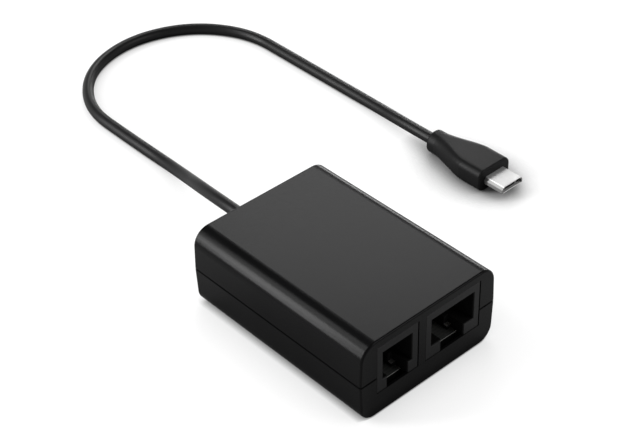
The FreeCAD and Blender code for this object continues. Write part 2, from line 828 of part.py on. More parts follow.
def grip_section(distance, inset):
    share = min(max((distance - grip_collar_length) / grip_flare_length, 0), 1)
    smooth = share * share * (3 - 2 * share)
    ease = share + grip_flare_softness * (smooth - share)
    round_half = grip_height / 2
    round_corner = 0.95 * round_half
    half = round_half + (grip_width / 2 - round_half) * ease - inset
    corner = round_corner + (grip_corner - round_corner) * ease - inset
    high = round_half - inset
    x = plug_x
    y = plug_rear_y - distance
    z = plug_axis_z
    flat_x = half - corner
    flat_z = high - corner
    k = corner * math.sqrt(0.5)
    edges = []
    for sx, sz in ((1, 1), (-1, 1), (-1, -1), (1, -1)):
        side = V(x + sx * half, y, z + sz * flat_z)
        face = V(x + sx * flat_x, y, z + sz * high)
        middle = V(x + sx * (flat_x + k), y, z + sz * (flat_z + k))
        first, last = (side, face) if sx * sz > 0 else (face, side)
        edges.append((first, middle, last))
    shapes = []
    for i, (first, middle, last) in enumerate(edges):
        shapes.append(arc(first, middle, last))
        shapes.append(line(last, edges[(i + 1) % 4][0]))
    return Part.Wire(shapes)


# The grip: a round collar at the cord that flares sideways into a wide rounded block
def make_plug_overmould():
    flare_end = grip_collar_length + grip_flare_length
    steps = 8
    flare = [grip_collar_length + grip_flare_length * i / steps for i in range(steps + 1)]
    grip = Part.makeLoft([grip_section(d, 0) for d in flare], True, True)
    collar = Part.makeLoft([grip_section(d, 0) for d in (grip_end_round, grip_collar_length)], True, True)
    block = Part.makeLoft([grip_section(d, 0) for d in (flare_end, grip_length - grip_end_round)], True, True)
    turns = [math.radians(a) for a in (0, 30, 60, 90)]
    rounds = [(grip_end_round * (1 - math.cos(a)), grip_end_round * (1 - math.sin(a))) for a in turns]
    rear_end = Part.makeLoft([grip_section(d, inset) for d, inset in rounds], True, True)
    front_end = Part.makeLoft([grip_section(grip_length - d, inset) for d, inset in rounds], True, True)
    grip = grip.fuse([collar, block, rear_end, front_end]).removeSplitter()
    pocket = shell_prism(insulator_gap, grip_front_y - cut_over, grip_front_y + shell_seat)
    back_y = grip_front_y + shell_seat
    core = insulator_block(back_y - cut_over, insulator_back_y(), insulator_gap)
    return grip.cut([pocket, core])


def shell_prism(grow, y0, y1):
    half = shell_width / 2 + grow
    top_half = shell_top_width / 2 + grow
    low = plug_axis_z - shell_height / 2 - grow
    high = plug_axis_z + shell_height / 2 + grow
    shoulder = plug_axis_z - shell_height / 2 + shell_side_height
    points = [(-half, low), (half, low), (half, shoulder), (top_half, high), (-top_half, high), (-half, shoulder)]
    solid = prism([V(plug_x + x, y0, z) for x, z in points], V(0, y1 - y0, 0))
    long_edges = edges_where(solid, lambda b: b.YLength > 0.5)
    return solid.makeFillet(shell_edge_round + max(grow, -shell_edge_round / 2), long_edges)


def latch_xs():
    return [plug_x - latch_spread / 2, plug_x + latch_spread / 2]


def make_plug_shell():
    y1 = grip_front_y + shell_seat
    shell = shell_prism(0, shell_tip_y, y1)
    shell = shell.cut(shell_prism(-shell_sheet, shell_tip_y - cut_over, y1 + cut_over))
    slots = []
    for x in latch_xs():
        half = latch_width / 2 + latch_play
        y = shell_tip_y + latch_setback
        low = plug_axis_z - shell_height / 2
        y1 = y + latch_hook_length + 2 * latch_play
        slots.append(box(x - half, x + half, y - latch_play, y1, low - cut_over, low + 2 * shell_sheet))
    return shell.cut(slots)


def insulator_back_y():
    return grip_front_y + shell_seat + insulator_block_setback


def insulator_low():
    return plug_axis_z - shell_height / 2 + shell_sheet + insulator_gap


def insulator_block(y0, y1, grow):
    half = shell_top_width / 2 - shell_sheet - insulator_gap + grow
    high = plug_axis_z + shell_height / 2 - shell_sheet - insulator_gap + grow
    return box(plug_x - half, plug_x + half, y0, y1 + grow, insulator_low() - grow, high)


def make_plug_insulator():
    half = shell_width / 2 - shell_sheet - shell_edge_round
    low = insulator_low()
    y0 = shell_tip_y + insulator_setback
    y1 = grip_front_y + shell_seat
    plate = box(plug_x - half, plug_x + half, y0, y1, low, low + insulator_plate)
    body = plate.fuse(insulator_block(grip_front_y, insulator_back_y(), 0))
    cuts = []
    for x in latch_xs():
        room = latch_width / 2 + latch_play
        cuts.append(box(x - room, x + room, y0 - cut_over, latch_root_y() + latch_play, low - cut_over, low + shell_height))
    strips = strip_row / 2 + latch_contact_gap / 2
    z0 = low + insulator_plate
    y2 = insulator_back_y() + cut_over
    cuts.append(box(plug_x - strips, plug_x + strips, y0 - cut_over, y2, z0, z0 + 2 * contact_strip_thickness))
    return body.cut(cuts).removeSplitter()


def make_plug_contacts():
    strips = []
    for i in range(contact_strip_count):
        x = plug_x + (i - (contact_strip_count - 1) / 2) * contact_strip_pitch
        z = insulator_low() + insulator_plate
        half = contact_strip_width / 2
        y = shell_tip_y + contact_strip_setback
        strips.append(box(x - half, x + half, y, insulator_back_y(), z, z + contact_strip_thickness))
    return Part.makeCompound(strips)


def latch_root_y():
    return shell_tip_y + latch_setback + latch_length


# Each latch is a flat spring with a ramped hook that stands out of a slot in the shell's underside
def make_plug_latches():
    latches = []
    low = plug_axis_z - shell_height / 2 + shell_sheet + latch_play
    hook_low = plug_axis_z - shell_height / 2 - latch_hook_reach
    for x in latch_xs():
        left = x - latch_width / 2
        y0 = shell_tip_y + latch_setback
        root = latch_root_y() - latch_pivot_radius
        arm = box(left, left + latch_width, y0, root, low, low + latch_thickness)
        hook = prism([V(left, y0, low), V(left, y0 + latch_hook_length, hook_low), V(left, y0 + latch_hook_length, low)],
                     V(latch_width, 0, 0))
        curl = Part.makeCylinder(latch_pivot_radius, latch_width, V(left, root, low + latch_thickness / 2), V(1, 0, 0))
        latches.append(arm.fuse([hook, curl]).removeSplitter())
    return Part.makeCompound(latches)


def main():
    os.makedirs("parts", exist_ok=True)
    rj9 = (rj9_x, rj9_width, rj9_opening, rj9_channel, rj9_contacts, rj9_post_spacing)
    rj45 = (rj45_x, rj45_width, rj45_opening, rj45_channel, rj45_contacts, rj45_post_spacing)
    save("top_cover", make_top_cover())
    save("bottom_cover", make_bottom_cover())
    save("case_screws", make_case_screws())
    save("main_board", make_main_board())
    save("rj9_jack_housing", make_jack_housing(*rj9))
    save("rj9_contact_leads", make_contact_leads(rj9_x, rj9_contacts))
    save("rj9_contact_springs", make_contact_springs(rj9_x, rj9_contacts))
    save("rj45_jack_housing", make_jack_housing(*rj45))
    save("rj45_contact_leads", make_contact_leads(rj45_x, rj45_contacts))
    save("rj45_contact_springs", make_contact_springs(rj45_x, rj45_contacts))
    save("control_chip", make_control_chip())
    save("memory_chip", make_memory_chip())
    save("crystal", make_crystal())
    save("voltage_regulator", make_voltage_regulator())
    save("bulk_capacitors", make_bulk_capacitors())
    save("ferrite_choke", make_ferrite_choke())
    save("chip_capacitors", make_chip_capacitors())
    save("chip_resistors", make_chip_resistors())
    save("cord_header", make_cord_header())
    save("cord_header_pins", make_cord_header_pins())
    save("wire_plug", make_wire_plug())
    save("cord_leads", make_cord_leads())
    save("strain_relief", make_strain_relief())
    save("cord_inner_end", make_cord_inner_end())
    save("usb_cord", make_usb_cord())
    save("plug_overmould", make_plug_overmould())
    save("plug_shell", make_plug_shell())
    save("plug_insulator", make_plug_insulator())
    save("plug_contacts", make_plug_contacts())
    save("plug_latches", make_plug_latches())


main()
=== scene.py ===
import math
import bmesh
import bpy
from mathutils import Matrix, Quaternion, Vector


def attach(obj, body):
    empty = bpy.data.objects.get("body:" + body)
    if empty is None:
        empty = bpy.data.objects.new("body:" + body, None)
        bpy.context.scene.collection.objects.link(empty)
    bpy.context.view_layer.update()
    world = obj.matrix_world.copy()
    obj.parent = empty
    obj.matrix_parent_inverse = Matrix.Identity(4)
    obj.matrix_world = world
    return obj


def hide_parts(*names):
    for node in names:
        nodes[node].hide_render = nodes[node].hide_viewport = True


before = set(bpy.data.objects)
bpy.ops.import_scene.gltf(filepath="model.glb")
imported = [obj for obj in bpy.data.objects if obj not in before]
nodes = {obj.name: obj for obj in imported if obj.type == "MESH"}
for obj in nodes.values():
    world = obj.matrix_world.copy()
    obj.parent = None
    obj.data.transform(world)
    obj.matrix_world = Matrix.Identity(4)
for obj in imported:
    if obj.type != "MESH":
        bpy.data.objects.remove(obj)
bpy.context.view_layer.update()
scene = bpy.context.scene
mm = 0.001
smoothAngles = {"grown": 40, "turned": 35, "softened": 50, "leads": 50}  # degrees


def linkIn(name, data):
    obj = bpy.data.objects.new(name, data)
    scene.collection.objects.link(obj)
    return obj


def smoothByAngle(mesh, degrees):
    mesh.shade_smooth()
    mesh.set_sharp_from_angle(angle=math.radians(degrees))


# camera, matched to the photo's perspective

cameraLook = {
    "eye": (-0.164010, -0.178191, 0.215795),
    "turn": -0.726158,
    "lift": 0.666030,
    "roll": -0.026496,
    "lens": 87.06,
    "sensor": 36.0,
    "clip": (0.01, 20.0),
}


def makeCamera(look):
    data = bpy.data.cameras.new("photoCamera")
    data.lens = look["lens"]
    data.sensor_width = look["sensor"]
    data.clip_start, data.clip_end = look["clip"]
    a, e, r = look["turn"], look["lift"], look["roll"]
    right = Vector((math.cos(a), math.sin(a), 0))
    back = Vector((math.sin(a) * math.cos(e), -math.cos(a) * math.cos(e), math.sin(e)))
    up = back.cross(right)
    rolledRight = right * math.cos(r) + up * math.sin(r)
    rolledUp = up * math.cos(r) - right * math.sin(r)
    turn = Matrix((rolledRight, rolledUp, back)).transposed().to_4x4()
    cam = linkIn("photoCamera", data)
    cam.matrix_world = Matrix.Translation(look["eye"]) @ turn
    scene.camera = cam
    print("camera at", [round(v, 4) for v in cam.location])


makeCamera(cameraLook)


# shader building

def newFinish(name):
    mat = bpy.data.materials.new(name)
    mat.use_nodes = True
    tree = mat.node_tree
    tree.nodes.clear()
    out = tree.nodes.new("ShaderNodeOutputMaterial")
    shader = tree.nodes.new("ShaderNodeBsdfPrincipled")
    tree.links.new(shader.outputs["BSDF"], out.inputs["Surface"])
    place = tree.nodes.new("ShaderNodeTexCoord")
    return mat, tree, shader, place.outputs["Object"]


def addNoise(tree, where, scale, detail=4.0, rough=0.55):
    node = tree.nodes.new("ShaderNodeTexNoise")
    node.inputs["Scale"].default_value = scale
    node.inputs["Detail"].default_value = detail
    node.inputs["Roughness"].default_value = rough
    tree.links.new(where, node.inputs["Vector"])
    return node.outputs["Fac"]


def addSpread(tree, value, low, high, fromLow=0.3, fromHigh=0.7):
    node = tree.nodes.new("ShaderNodeMapRange")
    node.inputs["From Min"].default_value = fromLow
    node.inputs["From Max"].default_value = fromHigh
    node.inputs["To Min"].default_value = low
    node.inputs["To Max"].default_value = high
    tree.links.new(value, node.inputs["Value"])
    return node.outputs["Result"]


def addTint(tree, value, dark, light):
    node = tree.nodes.new("ShaderNodeMix")
    node.data_type = "RGBA"
    node.inputs["A"].default_value = (*dark, 1)
    node.inputs["B"].default_value = (*light, 1)
    tree.links.new(value, node.inputs["Factor"])
    return node.outputs["Result"]


def addBlend(tree, share, first, second):
    node = tree.nodes.new("ShaderNodeMix")
    node.data_type = "RGBA"
    tree.links.new(share, node.inputs["Factor"])
    for socket, value in (("A", first), ("B", second)):
        if isinstance(value, tuple):
            node.inputs[socket].default_value = (*value, 1)
        else:
            tree.links.new(value, node.inputs[socket])
    return node.outputs["Result"]


# tests on a place in the piece, each 1 where it holds

def addMath(tree, kind, first, second):
    node = tree.nodes.new("ShaderNodeMath")
    node.operation = kind
    for i, value in enumerate((first, second)):
        if isinstance(value, (int, float)):
            node.inputs[i].default_value = value
        else:
            tree.links.new(value, node.inputs[i])
    return node.outputs["Value"]


def axisOf(tree, where, axis):
    node = tree.nodes.new("ShaderNodeSeparateXYZ")
    tree.links.new(where, node.inputs["Vector"])
    return node.outputs[axis]


def above(tree, value, level):
    return addMath(tree, "GREATER_THAN", value, level)


def below(tree, value, level):
    return addMath(tree, "LESS_THAN", value, level)


def bothOf(tree, first, second):
    return addMath(tree, "MULTIPLY", first, second)


def oneMinus(tree, value):
    return addMath(tree, "SUBTRACT", 1.0, value)


def within(tree, value, centre, reach):
    off = addMath(tree, "ABSOLUTE", addMath(tree, "SUBTRACT", value, centre), 0.0)
    return below(tree, off, reach)


def addBump(tree, height, strength, depth, after=None):
    node = tree.nodes.new("ShaderNodeBump")
    node.inputs["Strength"].default_value = strength
    node.inputs["Distance"].default_value = depth
    tree.links.new(height, node.inputs["Height"])
    if after is not None:
        tree.links.new(after, node.inputs["Normal"])
    return node.outputs["Normal"]


def stretched(tree, where, scale):
    node = tree.nodes.new("ShaderNodeMapping")
    node.inputs["Scale"].default_value = scale
    tree.links.new(where, node.inputs["Vector"])
    return node.outputs["Vector"]


# moulded and rubbery finishes: a slow drift in tone and gloss, and a fine grain in the surface

mouldedNoise = {
    "drift": {"detail": 3.0}, "grain": {"detail": 2.0, "rough": 0.6}, "pits": {"detail": 3.0, "rough": 0.5},
    "pitScale": 0.31, "pitDepth": 2,  # both times the grain's own
}


def mouldedFinish(name, look):
    mat, tree, shader, where = newFinish(name)
    noise = mouldedNoise
    drift = addNoise(tree, where, look["driftScale"], **noise["drift"])
    grain = addNoise(tree, where, look["grainScale"], **noise["grain"])
    pits = addNoise(tree, where, look["grainScale"] * noise["pitScale"], **noise["pits"])
    shade = addTint(tree, addSpread(tree, drift, 0, 1), look["dark"], look["light"])
    gloss = addSpread(tree, drift, look["roughLow"], look["roughHigh"])
    if "inside" in look:  # painted shade: the walls behind the jacks' faces made nearly black where shade falls deep in the openings, and rougher
        deep = look["inside"]
        inRecessShade = above(tree, axisOf(tree, where, "Y"), deep["y"])
        shade = addBlend(tree, inRecessShade, shade, deep["tone"])
        gloss = addMath(tree, "MAXIMUM", gloss, addMath(tree, "MULTIPLY", inRecessShade, deep["rough"]))
    if "paintedLitStep" in look:  # painted highlight: a pale patch on the steps that plug latches snap over, where light falls on them
        litStep = look["paintedLitStep"]
        onY = within(tree, axisOf(tree, where, "Y"), litStep["y"], litStep["yReach"])
        onZ = within(tree, axisOf(tree, where, "Z"), litStep["z"], litStep["zReach"])
        shade = addBlend(tree, bothOf(tree, onY, onZ), shade, litStep["tone"])
    tree.links.new(shade, shader.inputs["Base Color"])
    tree.links.new(gloss, shader.inputs["Roughness"])
    first = addBump(tree, pits, look["pitStrength"], look["grainDepth"] * noise["pitDepth"])
    both = addBump(tree, grain, look["grainStrength"], look["grainDepth"], first)
    tree.links.new(both, shader.inputs["Normal"])
    shader.inputs["Specular IOR Level"].default_value = look["shine"]
    return mat


# metals: streaks along one axis in gloss and tone

metalNoise = {
    "streaks": {"scale": 1.0, "detail": 4.0, "rough": 0.6}, "stains": {"detail": 3.0}, "streakDepth": 0.00001,
}


def metalFinish(name, look):
    mat, tree, shader, where = newFinish(name)
    noise = metalNoise
    streaks = addNoise(tree, stretched(tree, where, look["streakScale"]), **noise["streaks"])
    stains = addNoise(tree, where, look["stainScale"], **noise["stains"])
    shade = addTint(tree, addSpread(tree, stains, 0, 1), look["dark"], look["light"])
    if "shadedFlanks" in look:  # painted shade: the stamped shell's sides given a darker tone than its top
        shadedFlank = look["shadedFlanks"]
        middle = within(tree, axisOf(tree, where, "X"), shadedFlank["x"], shadedFlank["reach"])
        shade = addBlend(tree, middle, shadedFlank["tone"], shade)
    tree.links.new(shade, shader.inputs["Base Color"])
    gloss = addSpread(tree, streaks, look["roughLow"], look["roughHigh"])
    tree.links.new(gloss, shader.inputs["Roughness"])
    raised = addBump(tree, streaks, look["streakStrength"], noise["streakDepth"])
    tree.links.new(raised, shader.inputs["Normal"])
    shader.inputs["Metallic"].default_value = 1.0
    return mat


caseLook = {
    "dark": (0.0027, 0.0027, 0.0028), "light": (0.0037, 0.0037, 0.0038),
    "driftScale": 45.0, "grainScale": 3600.0, "grainDepth": 0.00003,
    "grainStrength": 0.22, "pitStrength": 0.12, "roughLow": 0.220, "roughHigh": 0.235, "shine": 0.0415,
}
jackLook = {
    "dark": (0.0058, 0.0058, 0.0060), "light": (0.0075, 0.0075, 0.0077),
    "driftScale": 110.0, "grainScale": 5200.0, "grainDepth": 0.00002,
    "grainStrength": 0.1, "pitStrength": 0.06, "roughLow": 0.34, "roughHigh": 0.42, "shine": 0.073,
    # painted highlight: a pale patch on the latch steps inside the jacks
    "paintedLitStep": {"y": -0.02105, "yReach": 0.00048, "z": 0.0064, "zReach": 0.00004,
               "tone": (0.075, 0.075, 0.074)},
    # painted shade: nearly black walls behind the jacks' faces
    "inside": {"y": -0.02486, "tone": (0.0017, 0.0017, 0.0017), "rough": 0.75},
}
jacketLook = {
    "dark": (0.0037, 0.0037, 0.0038), "light": (0.0052, 0.0052, 0.0053),
    "driftScale": 70.0, "grainScale": 4200.0, "grainDepth": 0.00003,
    "grainStrength": 0.25, "pitStrength": 0.15, "roughLow": 0.36, "roughHigh": 0.44, "shine": 0.126,
}
gripLook = {**jacketLook, "shine": 0.076, "roughLow": 0.40, "roughHigh": 0.46}
resinLook = {
    "dark": (0.008, 0.008, 0.0085), "light": (0.014, 0.014, 0.0145),
    "driftScale": 400.0, "grainScale": 9000.0, "grainDepth": 0.00001,
    "grainStrength": 0.3, "pitStrength": 0.2, "roughLow": 0.5, "roughHigh": 0.62, "shine": 0.35,
}
ferriteLook = {
    "dark": (0.05, 0.05, 0.053), "light": (0.10, 0.10, 0.105),
    "driftScale": 900.0, "grainScale": 7000.0, "grainDepth": 0.00002,
    "grainStrength": 0.4, "pitStrength": 0.3, "roughLow": 0.55, "roughHigh": 0.7, "shine": 0.3,
}
nylonLook = {
    "dark": (0.70, 0.68, 0.60), "light": (0.78, 0.76, 0.69),
    "driftScale": 300.0, "grainScale": 6000.0, "grainDepth": 0.00001,
    "grainStrength": 0.12, "pitStrength": 0.08, "roughLow": 0.38, "roughHigh": 0.48, "shine": 0.45,
}
shellLook = {
    "dark": (0.555, 0.555, 0.553), "light": (0.633, 0.633, 0.630), "stainScale": 260.0,
    "streakScale": (4200.0, 160.0, 4200.0), "streakStrength": 0.12, "roughLow": 0.60, "roughHigh": 0.70,
    # painted shade: the shell's sides darker than its top
    "shadedFlanks": {"x": 0.05735, "reach": 0.0030, "tone": (0.24, 0.24, 0.238)},
}
goldLook = {
    "dark": (0.62, 0.42, 0.15), "light": (0.80, 0.58, 0.24), "stainScale": 900.0,
    "streakScale": (6000.0, 300.0, 300.0), "streakStrength": 0.08, "roughLow": 0.2, "roughHigh": 0.34,
}
tinLook = {
    "dark": (0.55, 0.55, 0.54), "light": (0.70, 0.70, 0.69), "stainScale": 1200.0,
    "streakScale": (5000.0, 5000.0, 400.0), "streakStrength": 0.08, "roughLow": 0.3, "roughHigh": 0.45,
}
oxideLook = {
    "dark": (0.035, 0.035, 0.038), "light": (0.085, 0.085, 0.09), "stainScale": 1100.0,
    "streakScale": (900.0, 900.0, 5000.0), "streakStrength": 0.15, "roughLow": 0.34, "roughHigh": 0.5,
}

casePlastic = mouldedFinish("casePlastic", caseLook)
jackPlastic = mouldedFinish("jackPlastic", jackLook)
cordJacket = mouldedFinish("cordJacket", jacketLook)
gripRubber = mouldedFinish("gripRubber", gripLook)
chipResin = mouldedFinish("chipResin", resinLook)
ferriteBlock = mouldedFinish("ferriteBlock", ferriteLook)
whiteNylon = mouldedFinish("whiteNylon", nylonLook)
shellSteel = metalFinish("shellSteel", shellLook)
goldWire = metalFinish("goldWire", goldLook)
tinPin = metalFinish("tinPin", tinLook)
blackOxide = metalFinish("blackOxide", oxideLook)


# board: dark mask with tracks showing through it, a painted highlight (a pale rim along the top of the front
# edge, where light catches it) and painted shade (a black core below it)

boardLook = {
    "front": -0.02300, "bottom": 0.0039, "top": 0.0055, "rim": 0.00016, "skin": 0.00008,
    "mask": (0.024, 0.025, 0.024), "track": (0.034, 0.035, 0.034), "core": (0.0022, 0.0022, 0.0022),
    "rimHighlight": (0.20, 0.20, 0.19), "rough": (0.30, 0.42), "shine": 0.2, "faceReach": 0.00001,
    "tracks": {"Scale": 900.0, "Mortar Size": 0.09, "Brick Width": 3.4, "Row Height": 0.7},
    "trackBump": (0.25, 0.00003), "fibres": {"scale": 2600.0, "detail": 3.0}, "fibreBump": (0.1, 0.00001),
}


def boardFinish(name, look):
    mat, tree, shader, where = newFinish(name)
    tracks = tree.nodes.new("ShaderNodeTexBrick")
    for socket, value in look["tracks"].items():
        tracks.inputs[socket].default_value = value
    tree.links.new(where, tracks.inputs["Vector"])
    fibres = addNoise(tree, where, **look["fibres"])
    y, z = axisOf(tree, where, "Y"), axisOf(tree, where, "Z")
    middle = (look["bottom"] + look["top"]) / 2
    half = (look["top"] - look["bottom"]) / 2
    inShadedCore = within(tree, z, middle, half - look["skin"])
    onFront = below(tree, y, look["front"] + look["faceReach"])
    onLitRim = bothOf(tree, onFront, above(tree, z, look["top"] - look["rim"]))
    mask = addTint(tree, tracks.outputs["Fac"], look["mask"], look["track"])
    cored = addBlend(tree, inShadedCore, mask, look["core"])
    withLitRim = addBlend(tree, onLitRim, cored, look["rimHighlight"])
    tree.links.new(withLitRim, shader.inputs["Base Color"])
    tree.links.new(addSpread(tree, fibres, *look["rough"]), shader.inputs["Roughness"])
    raised = addBump(tree, tracks.outputs["Fac"], *look["trackBump"])
    tree.links.new(addBump(tree, fibres, *look["fibreBump"], raised), shader.inputs["Normal"])
    shader.inputs["Specular IOR Level"].default_value = look["shine"]
    return mat


# small parts on the board: one finish each, metal where the leads, caps or lids are

smallPartLook = {
    "memory": {"centre": 0.007125, "reach": 0.00195,
               "body": ((0.008, 0.008, 0.0085), (0.014, 0.014, 0.0145))},
    "regulator": {"centre": 0.007625, "reach": 0.00175,
                  "body": ((0.009, 0.009, 0.0095), (0.015, 0.015, 0.0155))},
    "crystal": {"level": 0.0062, "body": ((0.10, 0.075, 0.05), (0.15, 0.115, 0.08))},
    "capacitor": {"rows": (-0.00875, -0.00135), "reach": 0.0005,
                  "body": ((0.36, 0.25, 0.15), (0.46, 0.34, 0.22))},
    "resistor": {"rows": (0.00065,), "reach": 0.0005, "body": ((0.010, 0.010, 0.011), (0.03, 0.03, 0.032))},
    "can": {"base": 0.0063, "top": 0.01086, "markEdge": -0.00695,
            "body": ((0.007, 0.007, 0.0075), (0.012, 0.012, 0.0125))},
}
smallPartSurface = {
    "metal": ((0.52, 0.52, 0.51), (0.70, 0.70, 0.69)), "grain": {"scale": 4200.0, "detail": 3.0},
    "rough": (0.34, 0.55), "bump": (0.15, 0.00001),
}


def smallPartFinish(name, look, pickMetal):
    mat, tree, shader, where = newFinish(name)
    surface = smallPartSurface
    metal = pickMetal(tree, where, look)
    grain = addNoise(tree, where, **surface["grain"])
    spread = addSpread(tree, grain, 0, 1)
    body = addTint(tree, spread, *look["body"])
    plate = addTint(tree, spread, *surface["metal"])
    tree.links.new(addBlend(tree, metal, body, plate), shader.inputs["Base Color"])
    tree.links.new(metal, shader.inputs["Metallic"])
    tree.links.new(addSpread(tree, grain, *surface["rough"]), shader.inputs["Roughness"])
    tree.links.new(addBump(tree, grain, *surface["bump"]), shader.inputs["Normal"])
    return mat


def leadsBeside(tree, where, look):
    body = within(tree, axisOf(tree, where, "X"), look["centre"], look["reach"])
    return oneMinus(tree, body)


def capsOnEnds(tree, where, look):
    y = axisOf(tree, where, "Y")
    ends = oneMinus(tree, within(tree, y, look["rows"][0], look["reach"]))
    for row in look["rows"][1:]:
        ends = bothOf(tree, ends, oneMinus(tree, within(tree, y, row, look["reach"])))
    return ends


def lidAbove(tree, where, look):
    return above(tree, axisOf(tree, where, "Z"), look["level"])


def canAndMark(tree, where, look):
    z = axisOf(tree, where, "Z")
    mark = bothOf(tree, above(tree, z, look["top"]), below(tree, axisOf(tree, where, "X"), look["markEdge"]))
    return bothOf(tree, above(tree, z, look["base"]), oneMinus(tree, mark))


memoryChip = smallPartFinish("memoryChip", smallPartLook["memory"], leadsBeside)
regulatorChip = smallPartFinish("regulatorChip", smallPartLook["regulator"], leadsBeside)
crystalCan = smallPartFinish("crystalCan", smallPartLook["crystal"], lidAbove)
ceramicChips = smallPartFinish("ceramicChips", smallPartLook["capacitor"], capsOnEnds)
resistorChips = smallPartFinish("resistorChips", smallPartLook["resistor"], capsOnEnds)
capacitorCans = smallPartFinish("capacitorCans", smallPartLook["can"], canAndMark)
boardMask = boardFinish("boardMask", boardLook)

finishes = {
    "top_cover": casePlastic, "bottom_cover": casePlastic, "main_board": boardMask,
    "rj9_jack_housing": jackPlastic, "rj45_jack_housing": jackPlastic, "plug_insulator": jackPlastic,
    "plug_overmould": gripRubber, "plug_shell": shellSteel, "plug_latches": shellSteel,
    "control_chip": chipResin, "memory_chip": memoryChip, "voltage_regulator": regulatorChip,
    "crystal": crystalCan, "bulk_capacitors": capacitorCans, "ferrite_choke": ferriteBlock,
    "chip_capacitors": ceramicChips, "chip_resistors": resistorChips,
    "cord_header": whiteNylon, "wire_plug": whiteNylon, "cord_header_pins": tinPin,
}
for node, finish in finishes.items():
    nodes[node].data.materials.clear()
    nodes[node].data.materials.append(finish)
print("finished", len(finishes), "nodes")


# building with geometry nodes: a tree with named sizes, grown once and kept as a plain mesh

def newTree(name, sizes):
    tree = bpy.data.node_groups.new(name, "GeometryNodeTree")
    tree.interface.new_socket("Geometry", in_out="INPUT", socket_type="NodeSocketGeometry")
    for size in sizes:
        kind = "NodeSocketInt" if size.endswith("Count") else "NodeSocketFloat"
        tree.interface.new_socket(size, in_out="INPUT", socket_type=kind)
    tree.interface.new_socket("Finish", in_out="INPUT", socket_type="NodeSocketMaterial")
    tree.interface.new_socket("Geometry", in_out="OUTPUT", socket_type="NodeSocketGeometry")
    return tree, tree.nodes.new("NodeGroupInput").outputs, tree.nodes.new("NodeGroupOutput").inputs


def addStep(tree, kind, values=None, mode=None, **links):
    step = tree.nodes.new(kind)
    if mode:
        step.mode = mode
    for socket, value in (values or {}).items():
        step.inputs[socket].default_value = value
    for socket, source in links.items():
        tree.links.new(source, step.inputs[socket.replace("_", " ")])
    return step


def placeCopies(tree, points, one, given, result):
    copies = addStep(tree, "GeometryNodeInstanceOnPoints", Points=points, Instance=one)
    real = addStep(tree, "GeometryNodeRealizeInstances", Geometry=copies.outputs["Instances"])
    dressed = addStep(tree, "GeometryNodeSetMaterial",
                      Geometry=real.outputs["Geometry"], Material=given["Finish"])
    tree.links.new(dressed.outputs["Geometry"], result["Geometry"])


def linePiece(name, paths):
    points, edges = [], []
    for path in paths:
        first = len(points)
        points += path
        edges += [(first + i, first + i + 1) for i in range(len(path) - 1)]
    mesh = bpy.data.meshes.new(name)
    mesh.from_pydata(points, edges, [])
    return linkIn(name, mesh)


def growPiece(piece, tree, sizes, finish):
    grow = piece.modifiers.new("grow", "NODES")
    grow.node_group = tree
    sockets = [s for s in tree.interface.items_tree if s.item_type == "SOCKET" and s.in_out == "INPUT"]
    names = {s.name: s.identifier for s in sockets}
    for size, value in sizes.items():
        grow[names[size]] = value
    grow[names["Finish"]] = finish
    grown = bpy.data.meshes.new_from_object(piece.evaluated_get(bpy.context.evaluated_depsgraph_get()))
    piece.modifiers.remove(grow)
    piece.data = grown
    smoothByAngle(grown, smoothAngles["grown"])


def standFor(piece, body, slot, *replaced):
    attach(piece, body)
    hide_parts(*replaced)


# contact wires: one bent wire swept along its path and repeated across the jack

wireSizes = ("Width", "Thickness", "Corner", "Pitch", "Wire Count")


def makeWireTree():
    tree, given, result = newTree("wireRow", wireSizes)
    path = addStep(tree, "GeometryNodeMeshToCurve", Mesh=given["Geometry"])
    level = addStep(tree, "GeometryNodeSetCurveNormal", {"Normal": (1, 0, 0)}, "FREE",
                    Curve=path.outputs["Curve"])
    blank = addStep(tree, "GeometryNodeCurvePrimitiveQuadrilateral",
                    Width=given["Width"], Height=given["Thickness"])
    section = addStep(tree, "GeometryNodeFilletCurve", {"Count": 3}, "POLY",
                      Curve=blank.outputs["Curve"], Radius=given["Corner"])
    wire = addStep(tree, "GeometryNodeCurveToMesh", {"Fill Caps": True},
                   Curve=level.outputs["Curve"], Profile_Curve=section.outputs["Curve"])
    aside = addStep(tree, "ShaderNodeCombineXYZ", X=given["Pitch"])
    row = addStep(tree, "GeometryNodeMeshLine", Count=given["Wire Count"], Offset=aside.outputs["Vector"])
    placeCopies(tree, row.outputs["Mesh"], wire.outputs["Mesh"], given, result)
    return tree


contactLook = {
    "pitch": 1.02 * mm, "width": 0.40 * mm, "thickness": 0.26 * mm, "corner": 0.07 * mm,
    "bendY": -22.35 * mm, "bendZ": 16.1 * mm, "bendRadius": 0.55 * mm, "slope": 22.0, "armLength": 6.4 * mm,
    "splitAngle": 6.0, "runZ": 16.65 * mm, "footZ": 3.1 * mm, "drops": (-10.55 * mm, -13.09 * mm),
    "bendSteps": 12, "dropSteps": 8,
    "jacks": {"rj45": {"x": 6.645 * mm, "count": 8}, "rj9": {"x": -8.695 * mm, "count": 4}},
}


def bendAt(look, degrees, x):
    a = math.radians(degrees)
    r = look["bendRadius"]
    return (x, look["bendY"] + r * math.cos(a), look["bendZ"] + r * math.sin(a))


def springPath(look, x):
    start, end = 90 + look["splitAngle"], 270 - look["slope"]
    steps = look["bendSteps"]
    path = [bendAt(look, start + (end - start) * i / steps, x) for i in range(steps + 1)]
    heading = math.radians(end + 90)
    tip = Vector(path[-1]) + Vector((0, math.cos(heading), math.sin(heading))) * look["armLength"]
    return path + [tuple(tip)]


def leadPath(look, x, drop):
    r = look["bendRadius"]
    steps = look["dropSteps"]
    path = [(x, drop, look["footZ"])]
    for i in range(steps + 1):
        a = math.radians(90 * i / steps)
        path.append((x, drop - r + r * math.cos(a), look["runZ"] - r + r * math.sin(a)))
    return path + [(x, look["bendY"], look["runZ"])]


def wireRow(look, pitch, count):
    section = {"Width": look["width"], "Thickness": look["thickness"], "Corner": look["corner"]}
    return {**section, "Pitch": pitch, "Wire Count": count}


